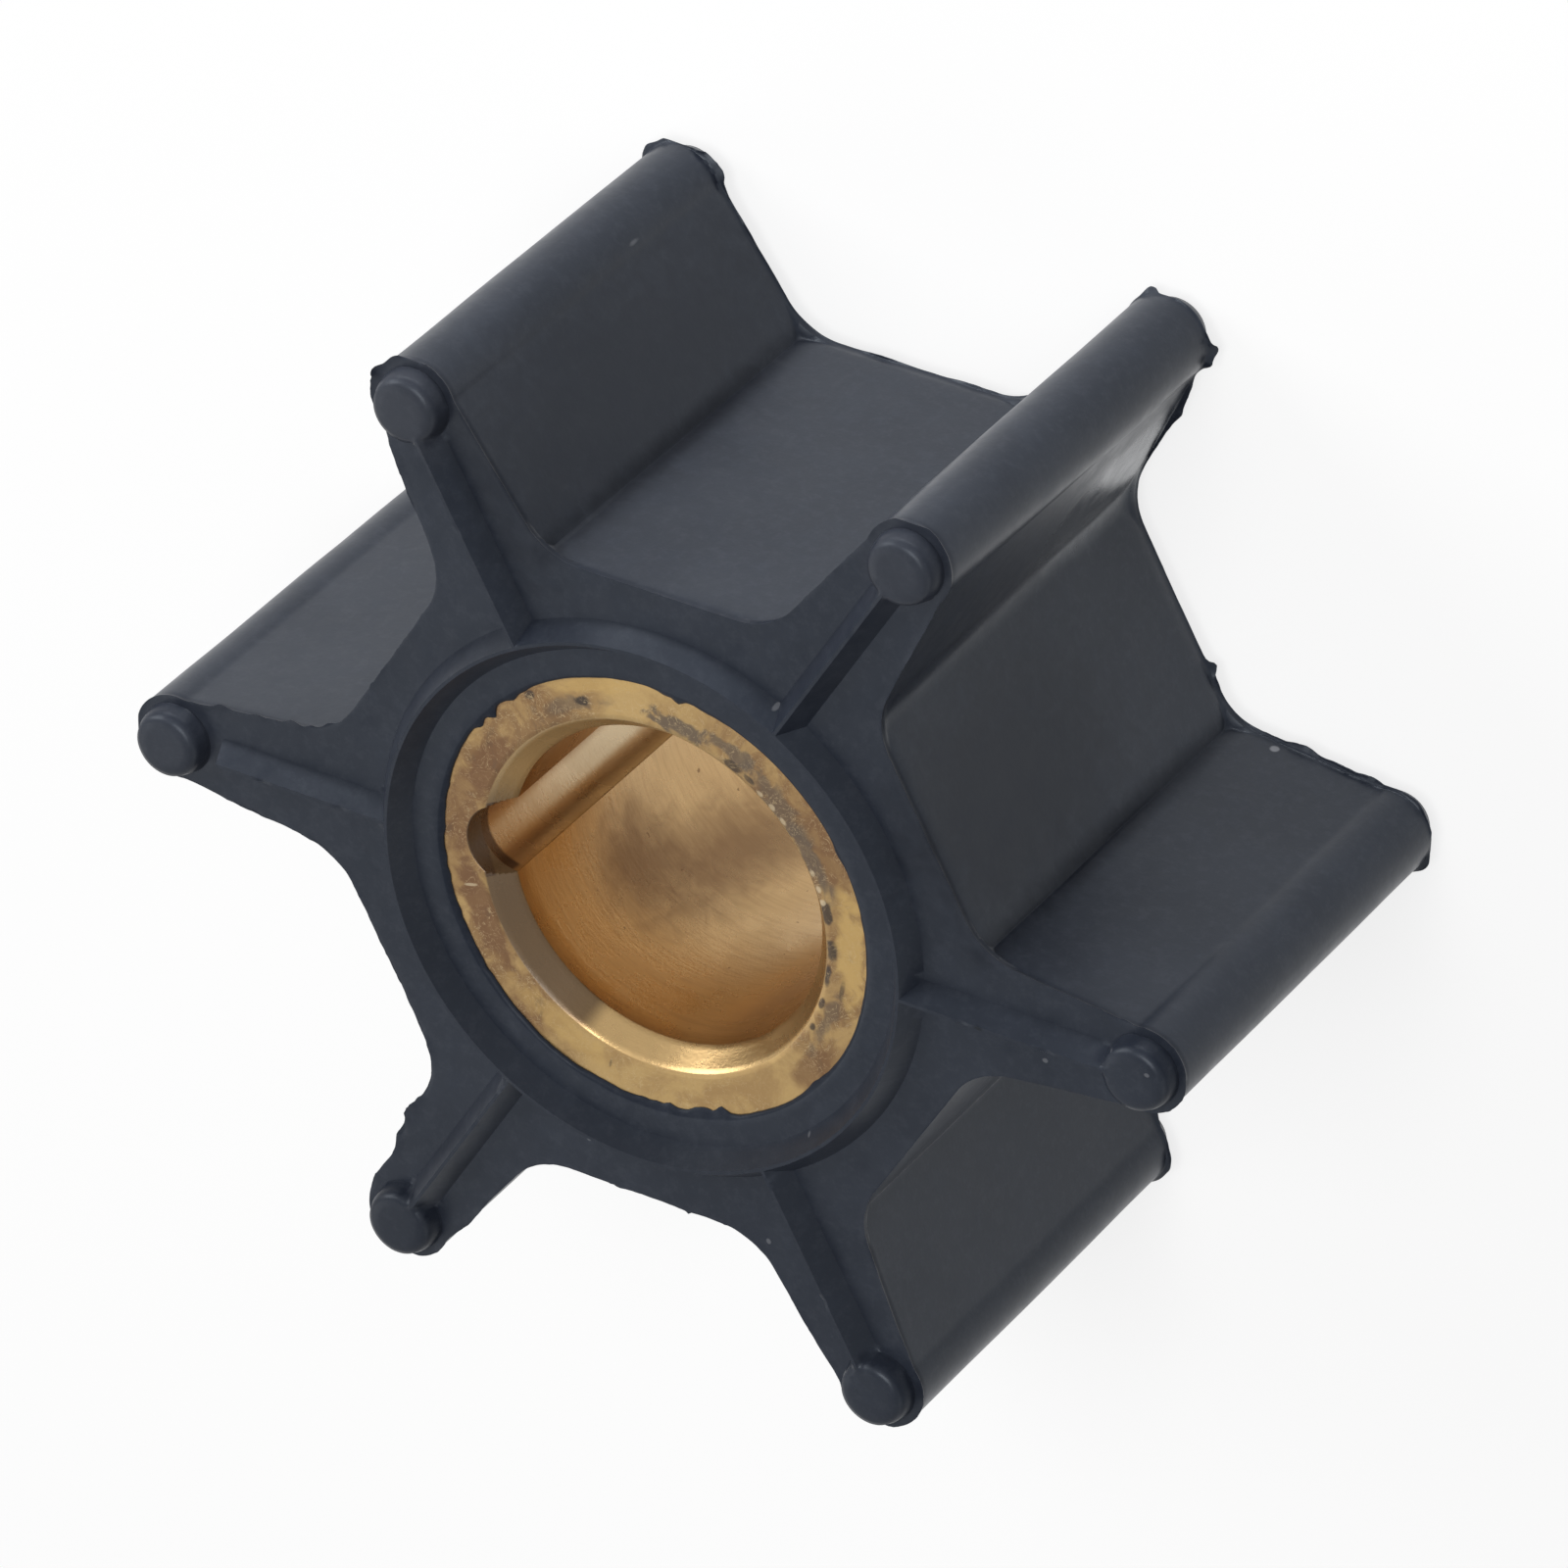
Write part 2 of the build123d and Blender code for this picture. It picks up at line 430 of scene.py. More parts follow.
def rim_rows(points, way, flash, curls, seed):
    """Rows from the side wall, over the flash, to the end face: (offsets, heights) per row."""
    reach = np.array([flash_reach(p, way, flash, seed) for p in points])
    lift = np.array([0.5 * turbulence((p[0], p[1], 3.0), 1.8, seed + 9) for p in points]) * reach
    for azimuth, radius, width, height in curls:
        away = np.linalg.norm(points - polar(math.radians(azimuth), radius), axis=1) / width
        lift += height * np.exp(-away ** 4)
    still = np.zeros(len(points))
    return [
        (still, still - RIM_DEPTHS[0]),
        (still, still - RIM_DEPTHS[0] / 2),
        (reach * 0.30, still - 0.07 + lift * 0.3),
        (reach * 0.92, lift - 0.035),
        (reach, lift),
        (reach * 0.35 - 0.02, lift * 0.4 + 0.005),
        (still - 0.12, still),
    ]


def wall_rows():
    """Heights of the side wall's rows between the rims, each with its share of the rim's shape."""
    depths = [*RIM_DEPTHS[1:], PLAIN_DEPTH]
    low = [BODY_BOTTOM + depth for depth in depths]
    high = [BODY_TOP - depth for depth in reversed(depths)]
    heights = low + list(np.linspace(low[-1], high[0], PLAIN_ROWS + 2)[1:-1]) + high
    shares = [float(np.interp(min(height - BODY_BOTTOM, BODY_TOP - height), RIM_DEPTHS, RIM_SHARES))
              for height in heights]
    return list(zip(heights, shares))


def swell(point, height, seed):
    """The gentle unevenness of a moulded wall."""
    spot = (point[0], point[1], height)
    return WALL_UNEVENNESS * turbulence(spot, 6.0, seed, 2)


def creep_reach(angle, creep, seed):
    """How far rubber film runs in over the brass face at an angle."""
    spot = (INSERT_RADIUS * math.cos(angle), INSERT_RADIUS * math.sin(angle), 0.0)
    reach = 0.05 + 0.04 * max(0.0, turbulence(spot, 1.4, seed) + 0.2)
    reach += 0.025 * max(0.0, turbulence(spot, 0.4, seed + 1))
    for azimuth, spread, growth in creep:
        turn = (angle - math.radians(azimuth) + math.pi) % TAU - math.pi
        away = turn * INSERT_RADIUS / spread
        reach += growth * math.exp(-away * away) * (0.7 + 0.5 * wander(spot, 0.5, seed + 3))
    return max(0.02, reach)


def hole_rows(creep, seed):
    """Rows from the end face, over the film's edge, down to the seat: (radii, heights)."""
    angles = TAU * np.arange(HOLE_POINTS) / HOLE_POINTS
    reach = np.array([creep_reach(angle, creep, seed) for angle in angles])
    recess = BODY_TOP - INSERT_TOP
    still = np.zeros(HOLE_POINTS)
    return [
        (INSERT_RADIUS + 0.04 - 0.3 * reach, still - 0.03),
        (INSERT_RADIUS - 0.85 * reach, still - recess + 0.07),
        (INSERT_RADIUS - reach, still - recess + 0.02),
        (INSERT_RADIUS - reach + 0.02, still - recess - 0.02),
        (INSERT_RADIUS + still, still - recess - 0.05),
    ]


class Shell:
    """Gathers the rows and faces of one mesh, in millimetres."""

    def __init__(self):
        self.blocks = []
        self.faces = []
        self.total = 0

    def add(self, flat, height):
        """Adds points from flat places and their heights, and gives the first one's number."""
        first = self.total
        self.blocks.append(np.column_stack((flat, np.broadcast_to(height, len(flat)))))
        self.total += len(flat)
        return first

    def strip(self, first, second, count):
        """Quads between two closed rows given by their first vertex numbers."""
        index = np.arange(count)
        after = np.roll(index, -1)
        corners = (first + index, first + after, second + after, second + index)
        self.faces += np.stack(corners, 1).tolist()

    def strips(self, rows, count):
        """Quads between each row and the next."""
        for first, second in zip(rows, rows[1:]):
            self.strip(first, second, count)

    def make(self, name, sharp_degrees):
        """The object, kept inside the solids' own box."""
        low = np.array(cad_low) / MM
        high = np.array(cad_high) / MM
        verts = np.clip(np.concatenate(self.blocks), low, high) * MM
        mesh = bpy.data.meshes.new(name)
        mesh.from_pydata(verts.tolist(), [], self.faces)
        mesh.validate()
        mesh.polygons.foreach_set("use_smooth", [True] * len(mesh.polygons))
        mesh.set_sharp_from_angle(angle=math.radians(sharp_degrees))
        obj = bpy.data.objects.new(name, mesh)
        bpy.context.scene.collection.objects.link(obj)
        return obj


def plan_heights(plan, nicks, seed, edge_count):
    """Height of each point of the end face's plan above the low plane."""
    heights = []
    for x, y in plan:
        rise = relief(x, y, nicks) + FACE_UNEVENNESS * turbulence((x, y, seed), 1.5, seed)
        heights.append(min(rise, RELIEF_HEIGHT))
    heights = np.array(heights)
    heights[:edge_count] = 0.0
    return heights


def make_rubber():
    """The whole moulding as one closed mesh."""
    rim_fillets = [(ROOT_FILLET, ROOT_FILLET)] * VANE_COUNT
    points, normals = full_outline(
        outline_sectors(rim_fillets, SIDE_BULGE, RIM_BULGE_SHARE))
    wall_points, wall_normals = full_outline(outline_sectors(CORNER_FILLETS, SIDE_BULGE, 1.0))
    count = len(points)
    hole = ring_of(INSERT_RADIUS + 0.15, HOLE_POINTS)
    plan, triangles = face_plan(points - normals * RIM_INSET, hole)
    angles = TAU * np.arange(HOLE_POINTS) / HOLE_POINTS
    spokes = np.stack((np.cos(angles), np.sin(angles)), 1)

    shell = Shell()
    rims = []
    seats = []
    ends = (
        (BODY_BOTTOM, -1, BACK_FLASH, BACK_CURLS, [], [], 31.0),
        (BODY_TOP, 1, FRONT_FLASH, FRONT_CURLS, CREST_NICKS, FRONT_CREEP, 11.0),
    )
    for plane, way, flash, curls, nicks, creep, seed in ends:
        heights = plan_heights(plan, nicks, seed, count + HOLE_POINTS)
        face = shell.add(plan, plane + way * heights)
        shell.faces += (face + triangles[:, ::way]).tolist()
        rim = []
        for offset, height in rim_rows(points, way, flash, curls, seed):
            rim.append(shell.add(points + normals * offset[:, None], plane + way * height))
        rims.append(rim + [face])
        rows = [face + count]
        for radius, height in hole_rows(creep, seed + 2):
            rows.append(shell.add(spokes * radius[:, None], plane + way * height))
        shell.strips(rows[::way], HOLE_POINTS)
        seats.append(rows[-1])
    walls = []
    for height, share in wall_rows():
        push = np.array([swell(p, height, 3.0) for p in points])
        place = wall_points + (points - wall_points) * share
        facing = wall_normals + (normals - wall_normals) * share
        walls.append(shell.add(place + facing * push[:, None], height))
    shell.strips(rims[0][::-1] + walls + rims[1], count)
    shell.strip(seats[1], seats[0], HOLE_POINTS)
    return shell.make("rubber_moulding", 50)


# ---------------------------------------------------------------- brass insert
def hole_radius(angles, chamfer_radius):
    """The bore's radius at each angle: the turned circle, or the keyway where it is deeper."""
    centre = BORE_RADIUS + KEYWAY_DEPTH - KEYWAY_RADIUS
    across = centre * np.sin(angles)
    reach = np.sqrt(np.maximum(0.0, KEYWAY_RADIUS ** 2 - across ** 2))
    keyway = np.where((np.abs(across) < KEYWAY_RADIUS) & (np.cos(angles) > 0),
                      centre * np.cos(angles) + reach, 0.0)
    return np.maximum(chamfer_radius, keyway)


def insert_angles():
    """Angles round the insert, closer together across the keyway."""
    half = math.radians(KEYWAY_ARC_DEGREES / 2)
    fine = np.linspace(-half, half, KEYWAY_POINTS, endpoint=False)
    coarse = np.linspace(half, TAU - half, BUSH_POINTS, endpoint=False)
    return np.concatenate((fine, coarse))


def make_brass():
    """The bush as one closed mesh: face, chamfer, bore with its keyway, and the hidden outside."""
    angles = insert_angles()
    count = len(angles)
    spokes = np.stack((np.cos(angles), np.sin(angles)), 1)
    shell = Shell()
    outer = INSERT_RADIUS - 0.02

    def row(radius, height):
        return shell.add(spokes * np.broadcast_to(radius, count)[:, None], height)

    length = INSERT_TOP - INSERT_BOTTOM
    half = []
    mouth = hole_radius(angles, BORE_RADIUS + CHAMFER_WIDTH)
    for share in np.linspace(0.0, 1.0, FACE_ROWS):
        radius = outer + (mouth + 0.05 - outer) * share
        half.append((radius, 0.0))
    for share in np.linspace(0.03, 0.97, CHAMFER_ROWS):
        turned = BORE_RADIUS + CHAMFER_WIDTH * (1 - share)
        half.append((hole_radius(angles, turned), CHAMFER_DEPTH * share))
    bore = hole_radius(angles, BORE_RADIUS)
    for depth in np.linspace(CHAMFER_DEPTH + 0.04, length / 2, BORE_ROWS):
        half.append((bore, depth))
    rows = [row(radius, INSERT_TOP - depth) for radius, depth in half]
    rows += [row(radius, INSERT_BOTTOM + depth) for radius, depth in half[-2::-1]]
    shell.strips(rows, count)
    shell.strip(rows[-1], rows[0], count)
    return shell.make("brass_bush", 30)


# ---------------------------------------------------------------- material helpers
class Nodes:
    """A short way to write a material's nodes and links."""

    def __init__(self, name):
        self.material = bpy.data.materials.new(name)
        self.material.use_nodes = True
        self.tree = self.material.node_tree
        self.tree.nodes.clear()
        self.place = self.new("ShaderNodeTexCoord").outputs["Object"]

    def new(self, kind, **settings):
        """A node with its settings."""
        node = self.tree.nodes.new(kind)
        for key, value in settings.items():
            setattr(node, key, value)
        return node

    def link(self, source, target):
        """Links an output to an input, or sets the input to a plain value."""
        if hasattr(source, "is_output"):
            self.tree.links.new(source, target)
        else:
            target.default_value = source

    def stretched(self, scale):
        """The place on the object with each axis scaled, as 1 over millimetres."""
        node = self.new("ShaderNodeMapping")
        self.link(self.place, node.inputs["Vector"])
        node.inputs["Scale"].default_value = [value / MM for value in scale]
        return node.outputs["Vector"]

    def axes(self):
        """The place on the object in millimetres: x, y, height and radius."""
        parts = self.new("ShaderNodeSeparateXYZ")
        self.link(self.stretched((1.0, 1.0, 1.0)), parts.inputs[0])
        x, y, height = (parts.outputs[axis] for axis in "XYZ")
        squares = self.math("ADD", self.math("POWER", x, 2.0), self.math("POWER", y, 2.0))
        return x, y, height, self.math("SQRT", squares)

    def noise(self, size, detail=4.0, rough=0.55, vector=None, twist=0.0):
        """Noise whose features are about size millimetres across."""
        node = self.new("ShaderNodeTexNoise")
        self.link(self.stretched((1.0, 1.0, 1.0)) if vector is None else vector,
                  node.inputs["Vector"])
        node.inputs["Scale"].default_value = 1.0 / size
        node.inputs["Detail"].default_value = detail
        node.inputs["Roughness"].default_value = rough
        node.inputs["Distortion"].default_value = twist
        return node.outputs["Fac"]

    def span(self, value, low, high, start=0.0, end=1.0, smooth=True):
        """Value mapped from low..high to start..end, held at both ends."""
        node = self.new("ShaderNodeMapRange")
        node.interpolation_type = "SMOOTHSTEP" if smooth else "LINEAR"
        self.link(value, node.inputs["Value"])
        node.inputs["From Min"].default_value = low
        node.inputs["From Max"].default_value = high
        node.inputs["To Min"].default_value = start
        node.inputs["To Max"].default_value = end
        return node.outputs["Result"]

    def math(self, operation, first, second=0.0, third=0.0):
        """The result of a maths node."""
        node = self.new("ShaderNodeMath", operation=operation)
        self.link(first, node.inputs[0])
        self.link(second, node.inputs[1])
        self.link(third, node.inputs[2])
        return node.outputs["Value"]

    def mix(self, share, first, second):
        """Colour mixed from first to second."""
        node = self.new("ShaderNodeMix", data_type="RGBA")
        self.link(share, node.inputs["Factor"])
        self.link(first, node.inputs["A"])
        self.link(second, node.inputs["B"])
        return node.outputs["Result"]

    def patch(self, place, extents, edge=0.5, ragged=0.0):
        """A ragged mark: 1 inside an ellipsoid at (azimuth, radius, height), 0 outside."""
        azimuth, radius, height = place
        turn = math.radians(azimuth)
        node = self.new("ShaderNodeMapping", vector_type="TEXTURE")
        self.link(self.stretched((1.0, 1.0, 1.0)), node.inputs["Vector"])
        centre = (radius * math.cos(turn), radius * math.sin(turn), height)
        node.inputs["Location"].default_value = centre
        node.inputs["Rotation"].default_value = (0.0, 0.0, turn)
        node.inputs["Scale"].default_value = extents
        length = self.new("ShaderNodeVectorMath", operation="LENGTH")
        self.link(node.outputs["Vector"], length.inputs[0])
        away = length.outputs["Value"]
        if ragged:
            rough = self.noise(1.1, 3.0, 0.5, twist=0.8)
            away = self.math("ADD", away, self.span(rough, 0.3, 0.7, -ragged, ragged, False))
        return self.span(away, 1.0 - edge, 1.0 + edge, 1.0, 0.0)

    def stains_and_shade(self, colour, marks):
        """Colour with each mark laid over it: (tone, strength, place, extents, edge, ragged)."""
        for shade, strength, place, extents, edge, ragged in marks:
            cover = self.math("MULTIPLY", self.patch(place, extents, edge, ragged), strength)
            colour = self.mix(cover, colour, shade)
        return colour

    def bump(self, height, distance, before=None):
        """A bump of a height in millimetres."""
        node = self.new("ShaderNodeBump")
        node.inputs["Strength"].default_value = 1.0
        node.inputs["Distance"].default_value = distance * MM
        self.link(height, node.inputs["Height"])
        if before is not None:
            self.link(before, node.inputs["Normal"])
        return node.outputs["Normal"]

    def surface(self, **inputs):
        """Ends the material with a Principled shader set from the inputs."""
        shader = self.new("ShaderNodeBsdfPrincipled")
        for key, value in inputs.items():
            self.link(value, shader.inputs[key.replace("_", " ")])
        output = self.new("ShaderNodeOutputMaterial")
        self.link(shader.outputs["BSDF"], output.inputs["Surface"])
        return self.material


def tone(red, green, blue):
    """An sRGB colour from 0 to 255 as a linear colour with alpha."""
    def linear(value):
        value /= 255
        return value / 12.92 if value <= 0.04045 else ((value + 0.055) / 1.055) ** 2.4
    return (linear(red), linear(green), linear(blue), 1.0)


WHITE_FLECK = tone(150, 152, 158)
PALE_BOSS = tone(86, 88, 96)
DEEP = tone(14, 18, 30)
PIT_AND_SHADE = tone(20, 22, 28)
# Marks on the rubber: tone, strength, (azimuth, radius, height), half sizes, edge, raggedness.
RUBBER_MARKS = [
    (PALE_BOSS, 0.12, (0.0, 23.45, 23.0), (2.2, 2.2, 1.2), 0.5, 0.15),
    (PALE_BOSS, 0.26, (300.0, 23.45, 23.0), (2.2, 2.2, 1.2), 0.5, 0.15),
    (PALE_BOSS, 0.2, (240.0, 23.45, 23.0), (2.2, 2.2, 1.2), 0.5, 0.15),
    (DEEP, 0.2, (60.0, 23.45, 23.2), (1.8, 1.8, 0.9), 0.15, 0.0),
    # Painted shade: the next two marks darken one vane's side and one pocket floor.
    (DEEP, 0.75, (293.5, 18.6, 13.0), (5.2, 1.8, 14.0), 0.6, 0.2),
    (DEEP, 0.85, (207.0, 15.0, 16.5), (2.0, 4.4, 8.0), 0.6, 0.2),
    (WHITE_FLECK, 0.4, (232.9, 23.69, 23.4), (0.10, 0.08, 0.4), 0.3, 0.4),
    (WHITE_FLECK, 0.4, (78.0, 13.34, 22.5), (0.12, 0.10, 0.4), 0.3, 0.4),
    (WHITE_FLECK, 0.4, (132.7, 11.86, 22.5), (0.12, 0.10, 0.4), 0.3, 0.4),
    (WHITE_FLECK, 0.4, (112.0, 16.22, 22.5), (0.12, 0.10, 0.4), 0.3, 0.4),
    (WHITE_FLECK, 0.4, (176.4, 18.94, 22.4), (0.12, 0.10, 0.4), 0.3, 0.4),
    (WHITE_FLECK, 0.4, (181.3, 24.12, 23.4), (0.10, 0.08, 0.4), 0.3, 0.4),
    (WHITE_FLECK, 0.4, (182.5, 22.29, 23.4), (0.10, 0.08, 0.4), 0.3, 0.4),
    (WHITE_FLECK, 0.4, (303.1, 12.63, 22.5), (0.12, 0.10, 0.4), 0.3, 0.4),
    (WHITE_FLECK, 0.4, (243.2, 13.03, 22.6), (0.12, 0.10, 0.4), 0.3, 0.4),
    (WHITE_FLECK, 0.3, (295.5, 23.55, 7.8), (0.1, 0.3, 0.35), 0.5, 0.5),
    (WHITE_FLECK, 0.95, (187.8, 18.29, 1.6), (0.2, 0.3, 0.2), 0.3, 0.3),
    (PIT_AND_SHADE, 0.9, (180.0, 16.2, 23.0), (0.25, 0.12, 0.6), 0.3, 0.4),
]
# Deep corners with painted shade in their colour and less shine: (azimuth, radius, height), half
# sizes.
SHADED_DULL_CORNERS = [
    ((290.0, 15.95, 11.0), (0.6, 0.6, 10.5)),
    ((190.0, 16.0, 11.0), (0.6, 0.6, 10.5)),
]
# The far part of one vane's side, which is rubbed smooth, of the same form.
POLISHED = ((232.5, 18.5, 3.5), (3.0, 1.6, 6.5))


def edge_of_face(n):
    """A mask: 1 on the front rim of the walls and on the bosses' flanks, which stay dull."""
    height, radius = n.axes()[2:]
    rim = n.math("MULTIPLY", n.span(height, BODY_TOP - 0.45, BODY_TOP - 0.2),
                 n.span(height, BODY_TOP - 0.02, BODY_TOP - 0.005, 1.0, 0.0))
    flank = n.math("MULTIPLY", n.span(height, BODY_TOP + 0.05, BODY_TOP + 0.15),
                   n.span(height, OVERALL_LENGTH - 0.3, OVERALL_LENGTH - 0.1, 1.0, 0.0))
    inner = TIP_RADIUS - BOSS_RADIUS
    flank = n.math("MULTIPLY", flank, n.span(radius, inner - 0.4, inner))
    return n.math("MAXIMUM", rim, flank)


def rubber_material():
    """Matt blue-black moulded rubber with faint dusty patches, flecks, a fine grain, and painted
    shade on one vane's side, one pocket floor and two deep corners.
    """
    n = Nodes("rubber")
    broad = n.noise(5.0, 4.0, 0.6)
    cloudy = n.noise(1.3, 6.0, 0.65)
    grain = n.noise(0.22, 3.0, 0.6)
    streaks = n.noise(1.0, 4.0, 0.6, n.stretched((1.6, 1.6, 0.12)))
    mottle = n.noise(0.6, 4.0, 0.75)
    colour = n.mix(n.span(broad, 0.35, 0.65), tone(38, 43, 54), tone(44, 49, 60))
    colour = n.mix(n.span(cloudy, 0.5, 0.75, 0.0, 0.3), colour, tone(56, 62, 73))
    colour = n.mix(n.span(mottle, 0.45, 0.7, 0.0, 0.14), colour, tone(84, 88, 98))
    colour = n.mix(n.span(streaks, 0.55, 0.8, 0.0, 0.2), colour, tone(56, 61, 70))
    colour = n.stains_and_shade(colour, RUBBER_MARKS)
    # Painted shade: the deep corners are darkened half way to the dark pit tone, and they and the
    # front rim get less shine.
    dull = 0.0
    for place, extents in SHADED_DULL_CORNERS:
        dull = n.math("MAXIMUM", dull, n.patch(place, extents, 0.85, 0.05))
    colour = n.mix(n.math("MULTIPLY", dull, 0.5), colour, PIT_AND_SHADE)
    dull = n.math("MAXIMUM", dull, n.math("MULTIPLY", edge_of_face(n), 0.9))
    shine = n.math("MULTIPLY_ADD", dull, -0.2, 0.32)
    roughness = n.span(cloudy, 0.3, 0.7, 0.3, 0.39)
    polish = n.patch(*POLISHED, 0.4, 0.1)
    shine = n.math("MULTIPLY_ADD", polish, 0.4, shine)
    roughness = n.math("MULTIPLY_ADD", polish, -0.14, roughness)
    normal = n.bump(grain, 0.004)
    normal = n.bump(cloudy, 0.008, normal)
    return n.surface(Base_Color=colour, Roughness=roughness, Specular_IOR_Level=shine,
                     Specular_Tint=(0.84, 0.92, 1.0, 1.0), Normal=normal)


# Height of the bush's front face.
FACE = INSERT_TOP
GOLD = tone(230, 192, 124)
PINKISH = tone(144, 108, 78)
GREY_FILM = tone(124, 110, 96)
DARK_MARK = tone(74, 68, 66)
UMBER = tone(96, 68, 44)
PALE_EDGE = tone(236, 214, 176)
# Stains on the front face: tone, strength, (azimuth, radius, height), half sizes, edge, raggedness.
FACE_MARKS = [
    (PINKISH, 0.9, (333, 8.9, FACE), (0.75, 1.5, 0.3), 0.25, 0.35),
    (PINKISH, 0.9, (24, 9.0, FACE), (0.7, 3.0, 0.3), 0.25, 0.35),
    (PINKISH, 0.6, (352, 9.4, FACE), (0.7, 2.2, 0.3), 0.3, 0.4),
    (PINKISH, 0.6, (210, 9.6, FACE), (0.7, 2.5, 0.3), 0.4, 0.4),
    (PINKISH, 0.7, (143, 9.7, FACE), (0.6, 1.3, 0.3), 0.3, 0.3),
    (GREY_FILM, 0.9, (262, 8.9, FACE), (0.4, 1.5, 0.3), 0.3, 0.6),
    (GREY_FILM, 0.8, (248, 9.2, FACE), (0.35, 1.6, 0.3), 0.3, 0.6),
    (GREY_FILM, 0.7, (228, 8.9, FACE), (0.5, 2.0, 0.3), 0.4, 0.6),
    (GREY_FILM, 0.8, (212, 8.75, FACE), (0.4, 1.6, 0.3), 0.4, 0.5),
    (GREY_FILM, 0.6, (295, 9.1, FACE), (0.35, 1.5, 0.3), 0.4, 0.6),
    (GREY_FILM, 0.6, (158, 9.0, FACE), (0.3, 1.6, 0.3), 0.4, 0.6),
    (DARK_MARK, 0.85, (293, 9.2, FACE), (0.22, 0.4, 0.3), 0.3, 0.5),
    (DARK_MARK, 0.85, (193.5, 8.55, FACE), (0.25, 0.55, 0.3), 0.25, 0.4),
    (DARK_MARK, 0.85, (182.5, 8.6, FACE), (0.3, 0.5, 0.3), 0.25, 0.4),
    (DARK_MARK, 0.85, (174, 8.45, FACE), (0.16, 0.55, 0.3), 0.3, 0.5),
    (DARK_MARK, 0.7, (172, 9.25, FACE), (0.12, 0.5, 0.3), 0.3, 0.5),
    (DARK_MARK, 0.8, (164, 8.5, FACE), (0.12, 0.3, 0.3), 0.3, 0.5),
    (DARK_MARK, 0.8, (155, 8.6, FACE), (0.14, 0.2, 0.3), 0.3, 0.4),
    (DARK_MARK, 0.8, (245, 8.55, FACE), (0.2, 0.45, 0.3), 0.3, 0.5),
    (DARK_MARK, 0.7, (239, 8.6, FACE), (0.15, 0.3, 0.3), 0.3, 0.5),
    (DARK_MARK, 0.8, (308, 10.0, FACE), (0.2, 0.25, 0.3), 0.3, 0.5),
    (DARK_MARK, 0.7, (78, 9.2, FACE), (0.25, 0.08, 0.3), 0.3, 0.4),
    (PALE_EDGE, 0.7, (234, 8.5, FACE), (0.1, 0.16, 0.3), 0.4, 0.4),
    (PALE_EDGE, 0.7, (229, 8.5, FACE), (0.1, 0.14, 0.3), 0.4, 0.4),
    (PALE_EDGE, 0.7, (224, 8.5, FACE), (0.1, 0.16, 0.3), 0.4, 0.4),
    (PALE_EDGE, 0.8, (207, 8.5, FACE), (0.12, 0.14, 0.3), 0.4, 0.4),
    (PALE_EDGE, 0.8, (202, 8.5, FACE), (0.12, 0.16, 0.3), 0.4, 0.4),
    (PALE_EDGE, 0.8, (198, 8.5, FACE), (0.12, 0.12, 0.3), 0.4, 0.4),
    (PALE_EDGE, 0.7, (15.5, 9.3, FACE), (0.35, 0.06, 0.3), 0.4, 0.6),
    (GOLD, 0.9, (184, 9.6, FACE), (0.7, 2.6, 0.3), 0.35, 0.4),
    (GOLD, 0.7, (287, 9.9, FACE), (0.4, 2.2, 0.3), 0.4, 0.4),
    (GOLD, 0.6, (62, 9.0, FACE), (0.6, 3.0, 0.3), 0.4, 0.3),
]
# Darker patches in the bore, of the same form.
BORE_MARKS = [
    (tone(128, 94, 64), 0.8, (42, 7.5, 13.6), (3.0, 2.6, 2.6), 0.85, 0.2),
    (tone(136, 102, 72), 0.75, (58, 7.5, 9.0), (3.0, 1.8, 3.6), 0.85, 0.2),
    (tone(150, 118, 84), 0.6, (68, 7.5, 5.8), (3.0, 1.4, 2.4), 0.7, 0.1),
]


